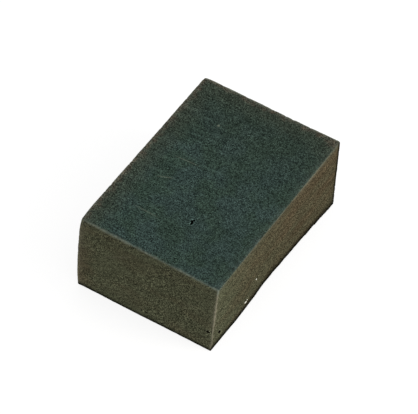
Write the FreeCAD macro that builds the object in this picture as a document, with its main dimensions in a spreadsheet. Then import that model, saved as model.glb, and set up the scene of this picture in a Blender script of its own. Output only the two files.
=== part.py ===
"""Floral foam brick: one block of rigid open-cell foam, sawn on all six faces.

Frame: millimetres, +Z up, origin at the centre of the underside. The length runs
along X and the width along Y. The brick is a single physical piece, so the document
holds one body, foam_brick. Its arrises are slightly rounded by handling, the lower
arris of the -Y side is broken away over part of its length, and four small voids
open on the top, the -Y side and the -X end.
"""
import FreeCAD, Part
import os

import Sketcher

PARTS_FOLDER = "parts"
SHEET = "Dimensions"

# Every driving dimension, in mm.
DIMENSIONS = {
    "brick_length": 198.0,
    "brick_width": 133.0,
    "brick_height": 80.0,
    "arris_radius": 0.8,
    # The broken lower arris: a long shallow scoop, and a short one at its steep end.
    # "from_end" is measured from the -X end, and "from_side" from the -Y side.
    "long_scoop_from_end": 122.0,
    "long_scoop_half_length": 60.0,
    "long_scoop_rise": 5.4,
    "long_scoop_depth": 2.4,
    "short_scoop_from_end": 91.0,
    "short_scoop_half_length": 28.0,
    "short_scoop_rise": 6.8,
    "short_scoop_depth": 3.1,
    # The voids: place on the face, half size along it and up it, and depth into it.
    "top_void_from_end": 51.2,
    "top_void_from_side": 56.7,
    "top_void_half_length": 2.2,
    "top_void_rise": 1.2,
    "top_void_depth": 3.2,
    "side_void_from_end": 12.2,
    "side_void_height": 13.8,
    "side_void_half_length": 2.2,
    "side_void_rise": 1.9,
    "side_void_depth": 3.4,
    "end_void_from_side": 4.6,
    "end_void_height": 22.7,
    "end_void_half_length": 1.5,
    "end_void_rise": 1.0,
    "end_void_depth": 2.8,
    "end_nick_from_side": 64.6,
    "end_nick_height": 7.8,
    "end_nick_half_length": 1.9,
    "end_nick_rise": 0.9,
    "end_nick_depth": 1.3,
}

# How Sketcher names the two ends of a line, and the sketch's own origin.
START = 1
END = 2
SKETCH_ORIGIN = (-1, 1)


def value(alias):
    """The expression that reads one cell of the sheet."""
    return f"{SHEET}.{alias}"


# The faces that carry hollows: the origin plane parallel to each, and the face's place
# along that plane's normal.
FACES = {
    "top": ("XY_Plane", value("brick_height")),
    "side": ("XZ_Plane", f"{value('brick_width')} / 2"),
    "end": ("YZ_Plane", f"-{value('brick_length')} / 2"),
}


def add_sheet(doc):
    """Writes the driving dimensions into a spreadsheet, one alias to a row."""
    sheet = doc.addObject("Spreadsheet::Sheet", SHEET)
    for row, (alias, size) in enumerate(DIMENSIONS.items(), start=1):
        sheet.set(f"A{row}", alias)
        sheet.set(f"B{row}", str(size))
        sheet.setAlias(f"B{row}", alias)
    doc.recompute()


def origin_plane(body, role):
    """One of the body's own origin planes, found by its role."""
    return next(plane for plane in body.Origin.OriginFeatures if plane.Role == role)


def add_outline(body):
    """The brick's plan: a rectangle centred on the origin, bound to length and width."""
    sketch = body.newObject("Sketcher::SketchObject", "plan_outline")
    sketch.AttachmentSupport = [(origin_plane(body, "XY_Plane"), "")]
    sketch.MapMode = "FlatFace"
    length = DIMENSIONS["brick_length"]
    width = DIMENSIONS["brick_width"]
    corners = [
        FreeCAD.Vector(-length / 2, -width / 2, 0),
        FreeCAD.Vector(length / 2, -width / 2, 0),
        FreeCAD.Vector(length / 2, width / 2, 0),
        FreeCAD.Vector(-length / 2, width / 2, 0),
    ]
    front, right, back, left = [
        sketch.addGeometry(Part.LineSegment(corner, following), False)
        for corner, following in zip(corners, corners[1:] + corners[:1])
    ]
    for line, following in ((front, right), (right, back), (back, left), (left, front)):
        sketch.addConstraint(Sketcher.Constraint("Coincident", line, END, following, START))
    for line in (front, back):
        sketch.addConstraint(Sketcher.Constraint("Horizontal", line))
    for line in (right, left):
        sketch.addConstraint(Sketcher.Constraint("Vertical", line))
    sketch.addConstraint(Sketcher.Constraint("Symmetric", front, START, right, END, *SKETCH_ORIGIN))
    driven = (("DistanceX", front, length, "brick_length"), ("DistanceY", right, width, "brick_width"))
    for kind, line, size, alias in driven:
        index = sketch.addConstraint(Sketcher.Constraint(kind, line, START, line, END, size))
        sketch.setExpression(f"Constraints[{index}]", value(alias))
    return sketch


def add_block(body):
    """Pads the outline to the brick's height and rounds all twelve arrises."""
    pad = body.newObject("PartDesign::Pad", "sawn_block")
    pad.Profile = add_outline(body)
    pad.setExpression("Length", value("brick_height"))
    body.Document.recompute()
    fillet = body.newObject("PartDesign::Fillet", "rounded_arrises")
    edges = [f"Edge{number}" for number in range(1, len(pad.Shape.Edges) + 1)]
    fillet.Base = (pad, edges)
    fillet.setExpression("Radius", value("arris_radius"))
    body.Document.recompute()


def add_hollow(body, name, face, along, up):
    """Sinks half an ellipsoid into one face; along and up place its centre on that face."""
    volume_before = body.Shape.Volume
    role, outwards = FACES[face]
    hollow = body.newObject("PartDesign::SubtractiveEllipsoid", name)
    hollow.AttachmentSupport = [(origin_plane(body, role), "")]
    hollow.MapMode = "FlatFace"
    for axis, place in zip("xyz", (along, up, outwards)):
        hollow.setExpression(f"AttachmentOffset.Base.{axis}", place)
    hollow.setExpression("Radius1", value(f"{name}_depth"))
    hollow.setExpression("Radius2", value(f"{name}_half_length"))
    hollow.setExpression("Radius3", value(f"{name}_rise"))
    body.Document.recompute()
    if body.Shape.Volume >= volume_before:
        raise RuntimeError(f"{name} cuts nothing")


def along_length(name):
    """X of a hollow, from its distance to the -X end."""
    return f"{value(name + '_from_end')} - {value('brick_length')} / 2"


def along_width(name):
    """Y of a hollow, from its distance to the -Y side."""
    return f"{value(name + '_from_side')} - {value('brick_width')} / 2"


def add_broken_arris(body):
    """Scoops the lower arris of the -Y side away, steeply at one end and slowly at the other."""
    for name in ("long_scoop", "short_scoop"):
        add_hollow(body, name, "side", along_length(name), "0")


def add_voids(body):
    """Opens the small voids that the saw cut through."""
    add_hollow(body, "top_void", "top", along_length("top_void"), along_width("top_void"))
    add_hollow(body, "side_void", "side", along_length("side_void"), value("side_void_height"))
    add_hollow(body, "end_void", "end", along_width("end_void"), value("end_void_height"))
    add_hollow(body, "end_nick", "end", along_width("end_nick"), value("end_nick_height"))


def make_foam_brick(doc):
    """The whole brick, as one body with its own label, standing on its underside."""
    body = doc.addObject("PartDesign::Body", "foam_brick")
    body.Label = "foam_brick"
    add_block(body)
    add_broken_arris(body)
    add_voids(body)
    body.Placement = FreeCAD.Placement()
    return body


def check_document(doc, bodies):
    """Stops the build if an object failed, or a body isn't one valid solid."""
    for item in doc.Objects:
        if {"Invalid", "Error"} & set(item.State):
            raise RuntimeError(f"{item.Label} failed: {item.State}")
    for body in bodies:
        if body.Shape.isNull() or not body.Shape.isValid() or len(body.Shape.Solids) != 1:
            raise RuntimeError(f"{body.Label} is not one valid solid")


def main():
    doc = FreeCAD.newDocument("floral_foam_brick")
    add_sheet(doc)
    bodies = [make_foam_brick(doc)]
    doc.recompute()
    check_document(doc, bodies)
    os.makedirs(PARTS_FOLDER, exist_ok=True)
    for body in bodies:
        body.Shape.exportStep(f"{PARTS_FOLDER}/{body.Label}.step")
        box = body.Shape.optimalBoundingBox()
        print(f"{body.Label}: {box.XLength:.2f} x {box.YLength:.2f} x {box.ZLength:.2f} mm")


main()
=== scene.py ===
import math

import bmesh
import bpy
import numpy as np
from mathutils import Matrix, Vector, noise


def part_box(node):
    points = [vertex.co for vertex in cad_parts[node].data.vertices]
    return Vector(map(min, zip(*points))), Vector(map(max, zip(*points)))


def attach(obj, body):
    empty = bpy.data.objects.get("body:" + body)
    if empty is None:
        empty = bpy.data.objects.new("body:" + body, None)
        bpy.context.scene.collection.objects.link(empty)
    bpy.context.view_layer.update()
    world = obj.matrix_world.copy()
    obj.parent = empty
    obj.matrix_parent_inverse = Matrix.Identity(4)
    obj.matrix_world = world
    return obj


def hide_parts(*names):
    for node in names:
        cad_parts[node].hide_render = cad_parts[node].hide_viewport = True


# Looks of a floral foam brick. One closed mesh stands for the CAD block: a hand-sawn slab of
# fine rigid foam with crumbling arrises, a broken lower arris and a few open voids. A second
# mesh is the pale crumbs caught on its -Y side. Lengths are in metres, in the CAD frame.

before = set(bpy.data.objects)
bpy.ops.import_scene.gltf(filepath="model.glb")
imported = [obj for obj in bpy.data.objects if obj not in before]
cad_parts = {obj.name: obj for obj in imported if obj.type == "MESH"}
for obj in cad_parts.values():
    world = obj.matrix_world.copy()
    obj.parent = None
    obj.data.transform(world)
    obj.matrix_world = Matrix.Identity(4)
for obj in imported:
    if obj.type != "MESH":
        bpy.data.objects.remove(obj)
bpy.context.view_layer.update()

MM = 0.001
SEED = 5
BRICK = "foam_brick"
BODY = "root"

LOW, HIGH = (np.array(corner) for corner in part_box(BRICK))
LENGTH, WIDTH, HEIGHT = HIGH - LOW
CENTRE = (LOW + HIGH) / 2
HALF = (HIGH - LOW) / 2
X, Y, Z = range(3)


def place(from_end, from_side, height):
    """A point by its distances, in mm, from the -X end, the -Y side and the table."""
    return LOW + np.array([from_end, from_side, height]) * MM


def on_top(from_end, from_side):
    """A point of the top, by its distances in mm."""
    return place(from_end, from_side, HEIGHT / MM)


def on_side(from_end, height):
    """A point of the -Y side, by its distances in mm."""
    return place(from_end, 0, height)


def on_end(from_side, height):
    """A point of the -X end, by its distances in mm."""
    return place(0, from_side, height)


# --- The block's shape ------------------------------------------------------------------
# Lattice: the mesh is fine at the arrises and near the details, and coarser elsewhere.
COARSE = 1.4 * MM
FINE = 0.55 * MM
FINE_REACH = 2.0 * MM
GRADING_STEPS = 4001
# The gap between the faces where they are laid flat, for texture space.
CHART_GAP = 3 * MM
# Stands for zero in a division, and the share of a scoop that still counts as on its face.
NEARLY_ZERO = 1e-9
ON_FACE = 1e-6
# Mesh noise: how much each finer layer weakens, and how many times finer it is.
LAYER_WEAKENING = 1.0
LAYER_REFINING = 2.0

ARRIS_RADIUS = 0.7 * MM
ARRIS_RADIUS_CHANGE = 0.3 * MM
ARRIS_RADIUS_SIZE = 7 * MM

# How far each corner stands off a true block, in mm along X and Y: it was sawn by hand.
CORNER_OFFSETS = {
    (-1, -1, -1): (-0.6, 0.9),
    (-1, -1, 1): (-1.7, -1.5),
    (-1, 1, -1): (-1.5, -1.0),
    (-1, 1, 1): (0.45, 1.25),
    (1, -1, -1): (2.6, -0.6),
    (1, -1, 1): (1.15, 0.05),
    (1, 1, 1): (-0.2, 1.0),
}

# The upright arris at -X, +Y swells outwards: how far, and where it is fullest, as a share of
# the brick's height.
SWELL = 1.8 * MM
SWELL_HEIGHT = 0.42
SWELL_REACH = 34 * MM

# Top corners that are worn round: how much larger their radius is, and how far that reaches.
WORN_CORNERS = {
    (-1, 1, 1): (2.8 * MM, 9 * MM),
    (1, 1, 1): (1.3 * MM, 4 * MM),
}

# The broken lower arris of the -Y side: centre from the -X end, half length, rise and depth.
SCOOPS_MM = ((114.0, 77.0, 5.5, 2.5), (91.0, 33.0, 6.8, 3.1))
BREAK_RAGGEDNESS = 0.09
BREAK_SIZE = 5 * MM

# Voids that the saw opened: where, and half size in mm along X, Y and Z.
VOIDS = (
    (on_top(49.6, 55.9), (1.6, 1.15, 3.2)),
    (on_top(51.6, 56.9), (1.45, 1.2, 3.6)),
    (on_top(53.3, 56.0), (1.2, 1.0, 2.8)),
    (on_side(10.2, 15.9), (1.3, 3.0, 1.8)),
    (on_side(12.0, 14.0), (1.4, 3.4, 2.0)),
    (on_side(13.8, 12.2), (1.3, 3.0, 1.7)),
    (on_end(5.1, 22.4), (3.0, 1.5, 1.5)),
    (on_end(4.2, 22.9), (3.0, 1.4, 1.4)),
    (on_end(64.6, 7.8), (1.3, 2.0, 0.9)),
    (on_side(70.0, 27.4), (1.1, 0.9, 1.1)),
    (on_side(56.2, 16.0), (1.3, 1.4, 1.0)),
)
VOID_RAGGEDNESS = 0.20
VOID_RAGGEDNESS_SIZE = 0.9 * MM
# The voids' crumbled lips, in half sizes of the void: how far out, and how wide.
LIP_REACH = 1.3
LIP_WIDTH = 0.3

# Pale crumbs caught on the -Y side: where, and half size in mm along X, Y and Z.
CRUMBS = (
    (on_side(67.9, 27.1), (0.65, 0.45, 0.55)),
    (on_side(52.5, 12.1), (1.6, 0.5, 0.6)),
    (place(55.0, 0.2, 13.0), (1.0, 0.3, 0.4)),
)
# How uneven a crumb is, how many bumps it has to a half size, and in how many noise layers.
CRUMB_RAGGEDNESS = 0.35
CRUMB_LUMPS = 1.6
CRUMB_LAYERS = 3

# Pale wear along the arrises, each named by the faces that meet in it: how pale the line is,
# how pale the faces are beside it, and how far in from the faces the line lies, in mm.
WORN_ARRISES = {
    (-1, -1, 0): (0.95, 0.10, (0, 0, 0)),
    (-1, 1, 0): (0.15, 0.40, (0, 0, 0)),
    (1, 1, 0): (0.3, 0.05, (0, 0, 0)),
    (-1, 0, 1): (0.70, 0.0, (0.4, 0, 0)),
    (0, -1, 1): (0.23, 0.14, (0, 0, 0.9)),
    (0, 1, 1): (0.5, 0.0, (0, 0, 0)),
    (1, 0, 1): (1.25, 0.0, (0, 0, 0)),
}
WEAR_REACH = 1.2 * MM
WEAR_RAGGEDNESS = 0.55
WEAR_SIZE = 4 * MM
WEAR_FADE = 3.5 * MM

# Painted shade along the bottom of the sides, for the contact shadow on the table and, on the
# broken side, the shadowed underside of the break: how high it comes, higher on the broken side,
# and at how many times that height it has faded away.
BASE_SHADE_HEIGHT = 3.0 * MM
BROKEN_BASE_SHADE_HEIGHT = 6.4 * MM
BASE_SHADE_FADED = 1.5
# The upright arris at +X, -Y gets painted shade too, for its rounding turned away from the lamp:
# how far along the -Y side, how many times less far along the +X end, and how sharply it stops.
ARRIS_SHADE_REACH = 3.9 * MM
ARRIS_SHADE_SKEW = 2.5
ARRIS_SHADE_SHARPNESS = 4

# The top is brown along its +X and +Y rims, and this far round its corner at +X, -Y.
BROWN_CORNER_REACH = 7 * MM

# Chips knocked out of the upper and upright arrises.
CHIP_SPACING = 14 * MM
CHIP_RADII = (0.8 * MM, 1.6 * MM)
CHIP_DEPTHS = (0.15 * MM, 0.45 * MM)

# Relief of the sawn faces: size of the features along X, Y and Z, height and noise layers.
SAW_WAVES = ((60 * MM, 60 * MM, 45 * MM), 0.35 * MM, 2)
SAW_RIDGES = ((70 * MM, 70 * MM, 2.4 * MM), 0.06 * MM, 2)
GRAIN = ((2.0 * MM, 2.0 * MM, 2.0 * MM), 0.045 * MM, 3)
CELL_DEPTH = 0.11 * MM


def graded_lines(axis):
    """Lattice lines from face to face along one axis, close together where detail is."""
    fine_places = [LOW[axis], HIGH[axis], *(centre[axis] for centre, _ in VOIDS)]
    steps = np.linspace(LOW[axis], HIGH[axis], GRADING_STEPS)
    closeness = sum(np.exp(-(((steps - fine) / FINE_REACH) ** 2)) for fine in fine_places)
    density = 1 / COARSE + (1 / FINE - 1 / COARSE) * np.clip(closeness, 0, 1)
    lines_so_far = np.cumsum(density) * (steps[1] - steps[0])
    lines_so_far -= lines_so_far[0]
    count = math.ceil(lines_so_far[-1])
    return np.interp(np.linspace(0, lines_so_far[-1], count + 1), lines_so_far, steps)


def block_lattice():
    """The block's surface as a lattice: its points, its quads and each quad's flat chart."""
    lines = [graded_lines(axis) for axis in (X, Y, Z)]
    number = np.full([len(line) for line in lines], -1)
    skin = np.zeros(number.shape, bool)
    for axis in (X, Y, Z):
        faces = np.moveaxis(skin, axis, 0)
        faces[0] = True
        faces[-1] = True
    steps = np.argwhere(skin)
    number[skin] = np.arange(len(steps))
    points = np.stack([lines[axis][steps[:, axis]] for axis in (X, Y, Z)], axis=1)
    quads, chart_corners = [], []
    for axis in (X, Y, Z):
        across, up = [other for other in (X, Y, Z) if other != axis]
        for end in (0, -1):
            sheet = np.moveaxis(number, axis, 0)[end]
            ring = [sheet[:-1, :-1], sheet[1:, :-1], sheet[1:, 1:], sheet[:-1, 1:]]
            if (end == 0) != (axis == Y):
                ring.reverse()
            face = np.stack(ring, axis=-1).reshape(-1, 4)
            quads.append(face)
            chart_corners.append(points[face][:, :, (across, up)])
    return points, quads, chart_corners


def chart_layout(chart_corners):
    """Lays the six flat faces side by side in one square, at one scale, for texture space."""
    gap = CHART_GAP
    beside = LENGTH + 2 * gap
    # Left edge, lower edge and whether it is turned, for -X, +X, -Y, +Y, bottom and top.
    layout = (
        (beside, gap, False),
        (beside, HEIGHT + 2 * gap, False),
        (gap, 2 * WIDTH + 3 * gap, False),
        (beside, 2 * HEIGHT + 3 * gap, True),
        (gap, gap, False),
        (gap, WIDTH + 2 * gap, False),
    )
    side = max(2 * HEIGHT + LENGTH + 4 * gap, LENGTH + WIDTH + 3 * gap)
    laid = []
    for uv, (left, bottom, turned) in zip(chart_corners, layout):
        flat = uv - uv.reshape(-1, 2).min(axis=0)
        if turned:
            flat = flat[:, :, ::-1]
        laid.append((flat + (left, bottom)) / side)
    return np.concatenate(laid)


def fractal(points, size, layers=2):
    """Smooth noise between about -1 and 1, with features of that size, or of three sizes."""
    scaled = (Vector(point) for point in points / np.array(size))
    shape = (LAYER_WEAKENING, LAYER_REFINING, layers)
    return np.array([noise.fractal(point, *shape) for point in scaled])


def arris_distance(points):
    """How far each surface point is from the nearest arris."""
    depth = np.sort(HALF - np.abs(points - CENTRE), axis=1)
    return depth[:, 1]


def rounded(points):
    """Rounds the arrises by an uneven radius; also gives the direction out of the surface."""
    radius = ARRIS_RADIUS + ARRIS_RADIUS_CHANGE * fractal(points, ARRIS_RADIUS_SIZE)
    for corner, (extra_radius, reach) in WORN_CORNERS.items():
        to_corner = np.linalg.norm(points - CENTRE - HALF * corner, axis=1)
        radius += extra_radius * np.exp(-((to_corner / reach) ** 2))
    radius = np.maximum(radius, ARRIS_RADIUS / 2)[:, None]
    core = CENTRE + np.clip(points - CENTRE, radius - HALF, HALF - radius)
    outward = points - core
    outward /= np.linalg.norm(outward, axis=1)[:, None]
    return core + outward * radius, outward


def sawn_off_square(points, squared):
    """Shifts the corners, and everything between them in proportion, and swells one arris."""
    share = (squared - CENTRE) / HALF
    moved = points.copy()
    for corner, offset in CORNER_OFFSETS.items():
        weight = np.prod((1 + share * corner) / 2, axis=1)
        moved[:, :2] += weight[:, None] * np.array(offset) * MM
    height = (squared[:, Z] - LOW[Z]) / HEIGHT
    bulge = np.sin(math.pi * height ** (math.log(0.5) / math.log(SWELL_HEIGHT)))
    near_end = np.exp(-(((squared[:, X] - LOW[X]) / SWELL_REACH) ** 2))
    near_back = np.exp(-(((HIGH[Y] - squared[:, Y]) / SWELL_REACH) ** 2))
    moved[:, Y] += SWELL * bulge * near_end * near_back
    return moved


def break_lower_arris(points, squared):
    """Carves the scoops of the lower -Y arris; also gives their height, and where it is torn."""
    carved = points.copy()
    break_height = np.zeros(len(points))
    torn = np.zeros(len(points))
    for from_end, half_length, rise, depth in SCOOPS_MM:
        along = (squared[:, X] - LOW[X] - from_end * MM) / (half_length * MM)
        ragged = 1 + BREAK_RAGGEDNESS * fractal(squared, BREAK_SIZE)
        section = np.clip(1 - along**2, 0, None) * ragged
        up = (squared[:, Z] - LOW[Z]) / np.maximum(rise * MM * section, NEARLY_ZERO)
        into = (squared[:, Y] - LOW[Y]) / np.maximum(depth * MM * section, NEARLY_ZERO)
        on_face = np.minimum(up, into) < ON_FACE
        inside = (section > 0) & (up < 1) & (into < 1) & on_face
        turn = math.pi / 4 * (1 + up - into)
        scooped_y = LOW[Y] + depth * MM * section * np.cos(turn)
        scooped_z = LOW[Z] + rise * MM * section * np.sin(turn)
        carved[inside, Y] = np.maximum(carved[inside, Y], scooped_y[inside])
        carved[inside, Z] = np.maximum(carved[inside, Z], scooped_z[inside])
        break_height = np.maximum(break_height, rise * MM * section)
        torn[inside] = 1
    return carved, break_height, torn


def open_voids(squared, outward):
    """How deep each point sinks into the voids, its share of that depth, and the voids' lips."""
    sunk = np.zeros(len(squared))
    hollow = np.zeros(len(squared))
    lip = np.zeros(len(squared))
    ragged = 1 + VOID_RAGGEDNESS * fractal(squared, VOID_RAGGEDNESS_SIZE)
    for centre, half_size in VOIDS:
        half_size = np.array(half_size) * MM
        reach = np.linalg.norm((squared - centre) / half_size, axis=1) * ragged
        share = np.sqrt(np.clip(1 - reach**2, 0, None))
        depth = np.abs(outward) @ half_size
        sunk = np.maximum(sunk, share * depth)
        hollow = np.maximum(hollow, share)
        lip = np.maximum(lip, np.exp(-(((reach - LIP_REACH) / LIP_WIDTH) ** 2)))
    return sunk, hollow, lip * (hollow == 0)


def chip_arrises(squared, rng):
    """How deep each point sinks where small chips are missing from the arrises."""
    sunk = np.zeros(len(squared))
    near = arris_distance(squared) < max(CHIP_RADII)
    for axis in (X, Y, Z):
        first, second = [other for other in (X, Y, Z) if other != axis]
        for side in ((-1, -1), (-1, 1), (1, -1), (1, 1)):
            on_table = second == Z and side[1] < 0
            if on_table:
                continue
            for _ in range(round(2 * HALF[axis] / CHIP_SPACING)):
                centre = CENTRE.copy()
                centre[axis] += HALF[axis] * rng.uniform(-1, 1)
                centre[first] += HALF[first] * side[0]
                centre[second] += HALF[second] * side[1]
                away = np.linalg.norm(squared[near] - centre, axis=1) / rng.uniform(*CHIP_RADII)
                sunk[near] += rng.uniform(*CHIP_DEPTHS) * np.clip(1 - away**2, 0, None)
    return sunk


def wear(squared):
    """How pale the worn arrises leave each point, from 0 to a little over 1."""
    reach = WEAR_REACH * (1 + WEAR_RAGGEDNESS * fractal(squared, WEAR_SIZE))
    pale = np.zeros(len(squared))
    for faces, (on_arris, beside, inset_mm) in WORN_ARRISES.items():
        inward = HALF - np.array(faces) * (squared - CENTRE) - np.array(inset_mm) * MM
        away = np.linalg.norm(inward[:, np.abs(faces) > 0], axis=1)
        line = on_arris * np.exp(-((away / reach) ** 2))
        pale = np.maximum(pale, line + beside * np.exp(-away / WEAR_FADE))
    return pale


def painted_shade_share(squared, break_height):
    """The share of painted shade at each point of the sides: the contact shadow along the bottom,
    and the shade of the +X, -Y arris.
    """
    broken_side = squared[:, Y] <= LOW[Y]
    above_edge = squared[:, Z] - LOW[Z] - np.where(broken_side, break_height, 0)
    height = np.where(broken_side, BROKEN_BASE_SHADE_HEIGHT, BASE_SHADE_HEIGHT)
    # Painted shade: the contact shadow along the bottom, higher where the broken arris leaves a
    # shadowed underside.
    dark = np.clip(BASE_SHADE_FADED - above_edge / height, 0, 1)
    # Painted shade along the +X, -Y arris, where its rounding turns away from the lamp.
    from_arris = np.hypot(HIGH[X] - squared[:, X], ARRIS_SHADE_SKEW * (squared[:, Y] - LOW[Y]))
    arris_shade = np.exp(-((from_arris / ARRIS_SHADE_REACH) ** ARRIS_SHADE_SHARPNESS))
    return np.maximum(dark, arris_shade)


def relief(squared, rng):
    """The fine ups and downs of the sawn faces, as a distance out of the surface."""
    waves, ridges, grain = [
        height * fractal(squared, size, layers)
        for size, height, layers in (SAW_WAVES, SAW_RIDGES, GRAIN)
    ]
    upright = np.abs(squared[:, Z] - CENTRE[Z]) < HALF[Z]
    cells = CELL_DEPTH * rng.random(len(squared)) ** 2
    return waves + np.where(upright, ridges, 0) + grain - cells


def shape_block(squared, rng):
    """Turns the lattice's square block into the worn one, with the masks its foam needs."""
    points, outward = rounded(squared)
    points = sawn_off_square(points, squared)
    points, break_height, torn = break_lower_arris(points, squared)
    void_depth, hollow, lip = open_voids(squared, outward)
    sunk = void_depth + chip_arrises(squared, rng) - relief(squared, rng)
    points -= outward * sunk[:, None]
    points[:, Z] = np.maximum(points[:, Z], LOW[Z])
    from_rims = np.minimum(HIGH[X] - squared[:, X], HIGH[Y] - squared[:, Y])
    from_corner = np.hypot(HIGH[X] - squared[:, X], squared[:, Y] - LOW[Y]) - BROWN_CORNER_REACH
    masks = {
        "end": np.abs(outward[:, X]),
        # Painted shade along the bottom of the sides and at the +X, -Y arris.
        "painted_shade_share": painted_shade_share(squared, break_height),
        "hollow": hollow,
        "level": np.abs(outward[:, Z]) * (1 - torn),
        "lip": lip,
        "rim_mm": np.clip(np.minimum(from_rims, from_corner), 0, None) / MM,
        "worn": wear(squared),
    }
    return points, masks


def add_object(name, data):
    """Puts a new object with that mesh, lamp or lens into the scene."""
    made = bpy.data.objects.new(name, data)
    bpy.context.collection.objects.link(made)
    return made


def make_foam_block():
    """The brick's visible mesh, with its masks as attributes and one tidy texture layout."""
    rng = np.random.default_rng(SEED)
    squared, quads, chart_corners = block_lattice()
    points, masks = shape_block(squared, rng)
    mesh = bpy.data.meshes.new("foam_block")
    mesh.from_pydata(points.tolist(), [], np.concatenate(quads).tolist())
    layout = mesh.uv_layers.new(name="OFBake")
    layout.data.foreach_set("uv", chart_layout(chart_corners).ravel())
    for name, values in masks.items():
        mesh.attributes.new(name, "FLOAT", "POINT").data.foreach_set("value", values)
    mesh.shade_smooth()
    return add_object("foam_block", mesh)


def make_crumbs():
    """Pale crumbs of foam caught on the -Y side, as one mesh of small uneven lumps."""
    vertices, faces = [], []
    for centre, half_size in CRUMBS:
        lump = bmesh.new()
        bmesh.ops.create_icosphere(lump, subdivisions=3, radius=1)
        for vertex in lump.verts:
            spot = vertex.co * CRUMB_LUMPS + Vector(centre) / MM
            lumps = noise.fractal(spot, LAYER_WEAKENING, LAYER_REFINING, CRUMB_LAYERS)
            vertex.co = vertex.co * (1 + CRUMB_RAGGEDNESS * lumps) * Vector(half_size) * MM
        first = len(vertices)
        vertices += [Vector(centre) + vertex.co for vertex in lump.verts]
        faces += [[first + vertex.index for vertex in face.verts] for face in lump.faces]
        lump.free()
    mesh = bpy.data.meshes.new("crumbs")
    mesh.from_pydata(vertices, [], faces)
    mesh.shade_smooth()
    return add_object("crumbs", mesh)


# --- The foam's look ----------------------------------------------------------------------
# Colours of the foam, in linear RGB.
GREEN = (0.0262, 0.0425, 0.0382)
DEEP_GREEN = (0.0235, 0.0390, 0.0305)
FAR_GREEN = (0.0220, 0.0330, 0.0255)
OLIVE = (0.0445, 0.0466, 0.0278)
TAN = (0.0438, 0.0352, 0.0207)
RIM_GREY = (0.0460, 0.0490, 0.0380)
RIM_BROWN = (0.0550, 0.0475, 0.0348)
RIM_OLIVE = (0.0285, 0.0370, 0.0275)
WORN_PALE = (0.1980, 0.1840, 0.1310)
WORN_GREEN = (0.1570, 0.1730, 0.1350)
# Painted shade, near black, along the bottom of the sides and at the +X, -Y arris.
PAINTED_SHADE_COLOUR = (0.0050, 0.0050, 0.0028)
# Painted shade, near black, inside the voids and the pinholes.
PAINTED_HOLE_SHADE = (0.0020, 0.0022, 0.0018)
CRUMB_PALE = (0.88, 0.88, 0.78)

# Smooth noise stays mostly within the first span, and a patch's edge is where it crosses the
# second.
NOISE_SPAN = (0.3, 0.7)
PATCH_EDGE = (0.4, 0.6)

# Speckles: feature size, least and most of the speckle, then detail, seed and turn in degrees.
BROAD_TONE = (12 * MM, 0.94, 1.06, 3.0)
TOP_STREAKS = ((1.2 * MM, 22 * MM, 50 * MM), 0.79, 1.21, 1.0, 6.0, (0, 0, 3))
END_STREAKS = ((50 * MM, 24 * MM, 1.8 * MM), 0.86, 1.14, 1.0, 7.0, (-34, 0, 0))
FINE_SPECKLE = (0.55 * MM, 0.30, 1.66, 1.0, 2.0)
AGED_PATCHES = ((48 * MM, 48 * MM, 14 * MM), -0.25, 0.35, 3.0, 4.0)
RIM_WANDER_MM = (9 * MM, -2.0, 2.0)
WEAR_GAPS = (2.2 * MM, 0.5, 1.25, 3.0, 9.0)
WEAR_STRETCHES = (18 * MM, 0.6, 1.1, 1.0, 12.0)
PAINTED_SHADE_GAPS = (2.5 * MM, 0.85, 1.0, 2.0, 3.0)
FOAM_ROUGHNESS = (1.5 * MM, 0.86, 0.98)
CRUMB_SHADE = (0.6 * MM, 0.0, 0.35)
CRUMB_ROUGHNESS = (0.5 * MM, 0.85, 0.97)
GREEN_PATCH_SIZE = 26 * MM
RIM_PATCH_SIZE = 5 * MM

# Ramps: where each starts and ends, and what it is worth there.
LEVEL_TURN = (0.45, 0.75, 0.0, 1.0)
END_TURN = (0.45, 0.75, 0.0, 1.0)
PAINTED_SHADE_TURN = (0.45, 0.95, 1.0, 0.0)
AGED_AT_Z = (LOW[Z], HIGH[Z], 0.58, 0.80)
AGED_AT_Y = (HIGH[Y] - 0.15 * WIDTH, HIGH[Y], 0.0, 0.5)
FAR_GREEN_AT_X = (CENTRE[X], HIGH[X], 0.0, 0.8)
OLIVE_AT_RIM_MM = (4.0, 28.0, 0.9, 0.0)
GREY_AT_RIM_MM = (1.0, 7.5, 0.9, 0.0)
TOP_STREAKS_AT_Y = (LOW[Y], HIGH[Y], 0.3, 1.0)
LEVEL_BRIGHTNESS_AT_Y = (LOW[Y], HIGH[Y], 0.91, 0.97)
UPRIGHT_BRIGHTNESS_AT_X = (LOW[X], CENTRE[X], 1.04, 1.0)
GREEN_WEAR_AT_Z = (HIGH[Z] - 8 * MM, HIGH[Z] - 3 * MM, 0.0, 1.0)
HOLLOW_EDGE = (0.0, 0.35, 0.0, 1.0)
MARK_EDGE = (0.5, 1.0, 1.0, 0.0)

# The sides are as brown as they get at this share of the length from the -X end.
AGED_LENGTH = 0.5
# Brightness of the sides, then of the ends, at their bottom and at their top.
BRIGHTNESS_AT_BOTTOM = (0.92, 0.99)
BRIGHTNESS_AT_HEAD = (1.05, 0.90)
LIP_BRIGHTNESS = 2.3

# Cut cells: their size, the brightness of the dullest and the palest one, partly random tone and
# partly painted light and shade on the cut facets, and the ramp of painted shade from each one's
# dark mouth to its pale wall. Then the same for the pinholes, whose dark mouths are painted
# shade, and how rare they are.
CELL_SIZE = 0.70 * MM
CELL_TONES = (0.36, 1.60)
CELL_MOUTH = (0.10, 0.50, 0.02, 1.48)
PINHOLE_SPACING = 2.6 * MM
PINHOLE_MOUTH = (0.12, 0.34, 1.0, 0.0)
PINHOLE_RARITY = (0.10, 0.14, 0.5, 0.0)

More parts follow.
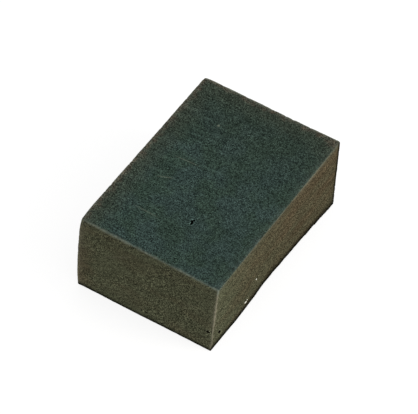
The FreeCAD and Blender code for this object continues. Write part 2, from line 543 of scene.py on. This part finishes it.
# Relief too small for the mesh: cell walls and torn foam between them.
RELIEF_CELL_SIZE = 0.55 * MM
RELIEF_WALL = (0.05, 0.55, 0.0, 0.5)
RELIEF_TEAR_SIZE = 0.8 * MM
RELIEF_TEAR_DETAIL = 3.0
RELIEF_TEAR_SEED = 5.0
RELIEF_STRENGTH = 0.55
RELIEF_DEPTH = 0.30 * MM

FOAM_SPECULAR = 0.0
CRUMB_SPECULAR = 0.2

# A chalky spot and faint scratches on the top, and two streaks on the -X end: where, half size
# in mm, turn about X, Y and Z in degrees, and share.
CHALK_MARKS = (
    (on_top(155.2, 94.6), (1.7, 1.4, 1.0), (0, 0, 0), 0.6),
    (on_top(80.2, 101.1), (0.9, 10.0, 1.0), (0, 0, 24), 0.30),
    (on_top(106.1, 95.8), (0.9, 15.0, 1.0), (0, 0, 4), 0.24),
    (on_top(39.0, 94.2), (0.9, 16.0, 1.0), (0, 0, -1), 0.24),
    (on_end(95.2, 57.7), (1.5, 24.0, 1.9), (-33, 0, 0), 0.09),
    (on_end(22.9, 44.7), (1.5, 27.0, 1.9), (-34, 0, 0), 0.09),
)


class Recipe:
    """One material's node tree, with short calls for the few kinds of node it needs."""

    def __init__(self, name):
        self.material = bpy.data.materials.new(name)
        self.material.use_nodes = True
        self.tree = self.material.node_tree
        self.tree.nodes.clear()
        self.output = self.node("ShaderNodeOutputMaterial")
        self.position = self.node("ShaderNodeTexCoord").outputs["Object"]

    def node(self, kind, inputs=None, **settings):
        """Adds a node; an input is a value, or the socket that feeds it."""
        made = self.tree.nodes.new(kind)
        for name, setting in settings.items():
            setattr(made, name, setting)
        for name, value in (inputs or {}).items():
            self.feed(made.inputs[name], value)
        return made

    def feed(self, socket, value):
        """Links a socket to another, or sets its value."""
        if isinstance(value, bpy.types.NodeSocket):
            self.tree.links.new(value, socket)
        else:
            socket.default_value = value

    def surfaced(self, inputs):
        """Ends the material in one shader with those inputs, and gives the material."""
        shader = self.node("ShaderNodeBsdfPrincipled", inputs)
        self.tree.links.new(shader.outputs["BSDF"], self.output.inputs["Surface"])
        return self.material

    def mask(self, name):
        """A mask of the mesh, by its attribute's name."""
        return self.node("ShaderNodeAttribute", attribute_name=name).outputs["Fac"]

    def coordinate(self, axis):
        """One object coordinate, named X, Y or Z."""
        return self.node("ShaderNodeSeparateXYZ", {"Vector": self.position}).outputs[axis]

    def add(self, first, second):
        """The sum of two numbers."""
        return self.node("ShaderNodeMath", {0: first, 1: second}, operation="ADD").outputs[0]

    def multiply(self, first, second):
        """The product of two numbers."""
        return self.node("ShaderNodeMath", {0: first, 1: second}, operation="MULTIPLY").outputs[0]

    def larger(self, first, second):
        """The larger of two numbers."""
        return self.node("ShaderNodeMath", {0: first, 1: second}, operation="MAXIMUM").outputs[0]

    def ramp(self, value, start, end, low, high):
        """Goes smoothly from low to high as the value goes from start to end."""
        inputs = {"Value": value, "From Min": start, "From Max": end, "To Min": low, "To Max": high}
        ramp = self.node("ShaderNodeMapRange", inputs, interpolation_type="SMOOTHSTEP")
        return ramp.outputs["Result"]

    def between(self, share, low, high):
        """Goes smoothly from low to high as the share goes from 0 to 1."""
        return self.ramp(share, 0.0, 1.0, low, high)

    def stretched(self, size, turn=(0, 0, 0), centre=(0, 0, 0)):
        """Coordinates from a centre, along axes turned by those degrees, in units of that size."""
        turn = [math.radians(angle) for angle in turn]
        inputs = {"Vector": self.position, "Location": centre, "Rotation": turn, "Scale": size}
        return self.node("ShaderNodeMapping", inputs, vector_type="TEXTURE").outputs["Vector"]

    def noise(self, size, detail=2.0, seed=0.0, turn=(0, 0, 0)):
        """Smooth noise of that feature size, or of three sizes."""
        size = size if isinstance(size, tuple) else (size, size, size)
        inputs = {"Vector": self.stretched(size, turn), "Scale": 1.0, "Detail": detail, "W": seed}
        return self.node("ShaderNodeTexNoise", inputs, noise_dimensions="4D").outputs["Fac"]

    def speckle(self, size, low, high, detail=2.0, seed=0.0, turn=(0, 0, 0)):
        """A number that wanders between low and high."""
        return self.ramp(self.noise(size, detail, seed, turn), *NOISE_SPAN, low, high)

    def patches(self, size):
        """1 in patches of that size, and 0 between them."""
        return self.ramp(self.noise(size), *PATCH_EDGE, 0.0, 1.0)

    def cells(self, size):
        """Cells of that size: how far each point is from its cell's middle, and a number by cell."""
        inputs = {"Vector": self.stretched((size, size, size)), "Scale": 1.0}
        cell = self.node("ShaderNodeTexVoronoi", inputs).outputs
        number = self.node("ShaderNodeSeparateColor", {"Color": cell["Color"]}).outputs["Red"]
        return cell["Distance"], number

    def within(self, centre, half_size, turn):
        """1 in the middle of an ellipsoid turned by those degrees, and 0 outside it."""
        local = self.stretched(half_size, turn, centre)
        reach = self.node("ShaderNodeVectorMath", {0: local}, operation="LENGTH").outputs["Value"]
        return self.ramp(reach, *MARK_EDGE)

    def mix(self, share, first, second):
        """Blends two colours."""
        blend = self.node("ShaderNodeMix", data_type="RGBA")
        sockets = {socket.identifier: socket for socket in blend.inputs}
        self.feed(sockets["Factor_Float"], share)
        for identifier, colour in (("A_Color", first), ("B_Color", second)):
            opaque = (*colour, 1.0) if isinstance(colour, tuple) else colour
            self.feed(sockets[identifier], opaque)
        return next(socket for socket in blend.outputs if socket.identifier == "Result_Color")

    def brighten(self, colour, factor):
        """Multiplies a colour by a number."""
        inputs = {0: colour, "Scale": factor}
        return self.node("ShaderNodeVectorMath", inputs, operation="SCALE").outputs[0]


def aged(recipe):
    """Share of brown ageing: more towards +X, most of all high up, and close to the +Y side."""
    full = recipe.ramp(recipe.coordinate("Z"), *AGED_AT_Z)
    full_from = LOW[X] + AGED_LENGTH * LENGTH
    along = recipe.ramp(recipe.coordinate("X"), LOW[X], full_from, 0.0, full)
    across = recipe.ramp(recipe.coordinate("Y"), *AGED_AT_Y)
    return recipe.add(recipe.larger(along, across), recipe.speckle(*AGED_PATCHES))


def level_colour(recipe):
    """The green of the top and underside, which fades to olive and grey-brown at two rims."""
    green = recipe.mix(recipe.patches(GREEN_PATCH_SIZE), GREEN, DEEP_GREEN)
    far = recipe.ramp(recipe.coordinate("X"), *FAR_GREEN_AT_X)
    green = recipe.mix(far, green, FAR_GREEN)
    from_rim = recipe.add(recipe.mask("rim_mm"), recipe.speckle(*RIM_WANDER_MM))
    olive = recipe.mix(recipe.ramp(from_rim, *OLIVE_AT_RIM_MM), green, RIM_OLIVE)
    rim = recipe.mix(recipe.patches(RIM_PATCH_SIZE), RIM_GREY, RIM_BROWN)
    return recipe.mix(recipe.ramp(from_rim, *GREY_AT_RIM_MM), olive, rim)


def brightness_slopes(recipe, is_level):
    """A brightness factor: the sides brighter and the ends darker towards the top, all upright faces
    a little brighter near the -X end, and the level faces darker towards -Y.
    """
    is_end = recipe.ramp(recipe.mask("end"), *END_TURN)
    at_foot = recipe.between(is_end, *BRIGHTNESS_AT_BOTTOM)
    at_head = recipe.between(is_end, *BRIGHTNESS_AT_HEAD)
    upright = recipe.ramp(recipe.coordinate("Z"), LOW[Z], HIGH[Z], at_foot, at_head)
    near_end = recipe.ramp(recipe.coordinate("X"), *UPRIGHT_BRIGHTNESS_AT_X)
    level = recipe.ramp(recipe.coordinate("Y"), *LEVEL_BRIGHTNESS_AT_Y)
    return recipe.between(is_level, recipe.multiply(upright, near_end), level)


def saw_marks(recipe, is_level):
    """A brightness factor: streaks across the top, strongest at +Y, and askew on the ends."""
    share = recipe.ramp(recipe.coordinate("Y"), *TOP_STREAKS_AT_Y)
    level = recipe.between(share, 1.0, recipe.speckle(*TOP_STREAKS))
    return recipe.between(is_level, recipe.speckle(*END_STREAKS), level)


def foam_grain(recipe, colour):
    """The cut cells: painted shade in their mouths, paler walls, each cell of its own tone that is
    partly painted light and shade on its facets, and some pinholes of painted shade.
    """
    mouth, tone = recipe.cells(CELL_SIZE)
    # Each cell's tone: partly random tone, partly painted light and shade on its cut facets.
    colour = recipe.brighten(colour, recipe.between(tone, *CELL_TONES))
    # Painted shade in each cell's mouth, lighter towards its wall.
    colour = recipe.brighten(colour, recipe.ramp(mouth, *CELL_MOUTH))
    colour = recipe.brighten(colour, recipe.speckle(*FINE_SPECKLE))
    # Pinholes: painted shade in small round mouths, in a few cells only.
    depth, rarity = recipe.cells(PINHOLE_SPACING)
    round_mouth = recipe.ramp(depth, *PINHOLE_MOUTH)
    pinhole = recipe.multiply(round_mouth, recipe.ramp(rarity, *PINHOLE_RARITY))
    return recipe.mix(pinhole, colour, PAINTED_HOLE_SHADE)


def worn_and_marked(recipe, colour):
    """The pale arrises, the pale lips of the voids, and the chalky marks."""
    near_top = recipe.ramp(recipe.coordinate("Z"), *GREEN_WEAR_AT_Z)
    pale = recipe.mix(near_top, WORN_PALE, WORN_GREEN)
    worn = recipe.multiply(recipe.mask("worn"), recipe.speckle(*WEAR_GAPS))
    worn = recipe.multiply(worn, recipe.speckle(*WEAR_STRETCHES))
    colour = recipe.mix(worn, colour, pale)
    colour = recipe.brighten(colour, recipe.between(recipe.mask("lip"), 1.0, LIP_BRIGHTNESS))
    for centre, half_size_mm, turn, share in CHALK_MARKS:
        half_size = [length * MM for length in half_size_mm]
        chalk = recipe.multiply(recipe.within(centre, half_size, turn), share)
        colour = recipe.mix(chalk, colour, pale)
    return colour


def with_painted_shade(recipe, colour):
    """Painted shade along the bottom of the sides and at the +X, -Y arris, which stops short of the
    level faces.
    """
    upright = recipe.ramp(recipe.mask("level"), *PAINTED_SHADE_TURN)
    shade_share = recipe.multiply(recipe.mask("painted_shade_share"), upright)
    shade_share = recipe.multiply(shade_share, recipe.speckle(*PAINTED_SHADE_GAPS))
    return recipe.mix(shade_share, colour, PAINTED_SHADE_COLOUR)


def foam_colour(recipe):
    """Green on the level faces and olive to tan on the sides, then grained and worn, with painted
    shade along the bottom, at one arris and in the voids.
    """
    side = recipe.mix(aged(recipe), OLIVE, TAN)
    is_level = recipe.ramp(recipe.mask("level"), *LEVEL_TURN)
    colour = recipe.mix(is_level, side, level_colour(recipe))
    colour = recipe.brighten(colour, brightness_slopes(recipe, is_level))
    colour = recipe.brighten(colour, recipe.speckle(*BROAD_TONE))
    colour = recipe.brighten(colour, saw_marks(recipe, is_level))
    colour = foam_grain(recipe, colour)
    colour = worn_and_marked(recipe, colour)
    # Painted shade along the bottom of the sides and at the +X, -Y arris.
    colour = with_painted_shade(recipe, colour)
    # Painted shade inside the voids.
    return recipe.mix(recipe.ramp(recipe.mask("hollow"), *HOLLOW_EDGE), colour, PAINTED_HOLE_SHADE)


def foam_relief(recipe):
    """The normals of a surface of cut-open cells, too small to be in the mesh."""
    from_middle, _ = recipe.cells(RELIEF_CELL_SIZE)
    walls = recipe.ramp(from_middle, *RELIEF_WALL)
    torn = recipe.noise(RELIEF_TEAR_SIZE, RELIEF_TEAR_DETAIL, RELIEF_TEAR_SEED)
    inputs = {
        "Strength": RELIEF_STRENGTH,
        "Distance": RELIEF_DEPTH,
        "Height": recipe.add(walls, torn),
    }
    return recipe.node("ShaderNodeBump", inputs).outputs["Normal"]


def foam_material():
    """Dry rigid foam: dull, fine-celled and powdery."""
    recipe = Recipe("floral_foam")
    inputs = {
        "Base Color": foam_colour(recipe),
        "Roughness": recipe.speckle(*FOAM_ROUGHNESS),
        "Specular IOR Level": FOAM_SPECULAR,
        "Normal": foam_relief(recipe),
    }
    return recipe.surfaced(inputs)


def crumb_material():
    """Powdered foam, which is much paler than the block."""
    recipe = Recipe("crumb_foam")
    inputs = {
        "Base Color": recipe.mix(recipe.speckle(*CRUMB_SHADE), CRUMB_PALE, WORN_PALE),
        "Roughness": recipe.speckle(*CRUMB_ROUGHNESS),
        "Specular IOR Level": CRUMB_SPECULAR,
    }
    return recipe.surfaced(inputs)


# --- The studio ---------------------------------------------------------------------------
WHITE = (1.0, 1.0, 1.0, 1.0)

# The floor and its low backdrop, in metres, and how brightly they and the sky glow.
FLOOR_SIZE = 12.0
BACKDROP_HEIGHT = 0.6
FLOOR_COLOUR = (0.22, 0.22, 0.22, 1.0)
FLOOR_GLOW = 0.82
FLOOR_ROUGHNESS = 0.9
FLOOR_SPECULAR = 0.1
SKY_BRIGHTNESS = 0.90

# The key lamp: its direction from the brick in degrees, its distance and size in metres, and
# its power in watts.
KEY_COLOUR = (1.0, 0.94, 0.88)
KEY_AZIMUTH = 15.0
KEY_ELEVATION = 24.0
KEY_DISTANCE = 2.2
KEY_SIZE = 1.1
KEY_POWER = 32.0

# The camera: its direction from its target and its roll in degrees, its distance in metres, and
# its focal length in mm.
CAMERA_AZIMUTH = -62.45
CAMERA_ELEVATION = 48.4
CAMERA_ROLL = 5.4
CAMERA_DISTANCE = 3.383
CAMERA_LENS = 344.5
CAMERA_CLIP_END = 100.0
CAMERA_TARGET = CENTRE + np.array([4.9, 3.1, 0.0]) * MM


def towards(azimuth, elevation):
    """The direction to a viewer: azimuth 0 stands at -Y and looks along +Y."""
    turn, rise = math.radians(azimuth), math.radians(elevation)
    level = math.cos(rise)
    return Vector((math.sin(turn) * level, -math.cos(turn) * level, math.sin(rise)))


def aim(thing, target, azimuth, elevation, distance, roll=0.0):
    """Stands a camera or lamp at that distance from the target, facing it."""
    back = towards(azimuth, elevation)
    facing = back.to_track_quat("Z", "Y").to_matrix() @ Matrix.Rotation(math.radians(roll), 3, "Z")
    thing.matrix_world = Matrix.Translation(Vector(target) + back * distance) @ facing.to_4x4()


def make_floor():
    """A pale floor with a low backdrop all round, both glowing a little, so no edge shows."""
    inputs = {
        "Base Color": FLOOR_COLOUR,
        "Roughness": FLOOR_ROUGHNESS,
        "Specular IOR Level": FLOOR_SPECULAR,
        "Emission Color": WHITE,
        "Emission Strength": FLOOR_GLOW,
    }
    half = FLOOR_SIZE / 2
    ring = [(-half, -half), (half, -half), (half, half), (-half, half)]
    corners = [(x, y, height) for height in (0, BACKDROP_HEIGHT) for x, y in ring]
    sides = ((0, 1), (1, 2), (2, 3), (3, 0))
    walls = [(end, start, len(ring) + start, len(ring) + end) for start, end in sides]
    mesh = bpy.data.meshes.new("floor")
    mesh.from_pydata(corners, [], [(0, 1, 2, 3), *walls])
    mesh.materials.append(Recipe("table").surfaced(inputs))
    floor = add_object("floor", mesh)


def make_lights():
    """An even white surround and one large soft lamp on the -Y side."""
    world = bpy.data.worlds.new("studio")
    world.use_nodes = True
    background = world.node_tree.nodes["Background"]
    background.inputs["Color"].default_value = WHITE
    background.inputs["Strength"].default_value = SKY_BRIGHTNESS
    bpy.context.scene.world = world
    lamp = bpy.data.lights.new("key", "AREA")
    lamp.size = KEY_SIZE
    lamp.energy = KEY_POWER
    lamp.color = KEY_COLOUR
    key = add_object("key", lamp)
    aim(key, CENTRE, KEY_AZIMUTH, KEY_ELEVATION, KEY_DISTANCE)


def make_camera():
    """A long lens above the corner at -X, -Y, turned slightly on its axis."""
    lens = bpy.data.cameras.new("camera")
    lens.lens = CAMERA_LENS
    lens.clip_end = CAMERA_CLIP_END
    camera = add_object("camera", lens)
    aim(camera, CAMERA_TARGET, CAMERA_AZIMUTH, CAMERA_ELEVATION, CAMERA_DISTANCE, CAMERA_ROLL)
    bpy.context.scene.camera = camera


# --- The scene ------------------------------------------------------------------------------
block = make_foam_block()
block.data.materials.append(foam_material())
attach(block, BODY)
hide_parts(BRICK)

crumbs = make_crumbs()
crumbs.data.materials.append(crumb_material())
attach(crumbs, BODY)

make_floor()
make_lights()
make_camera()
bpy.context.scene.view_settings.view_transform = "Standard"
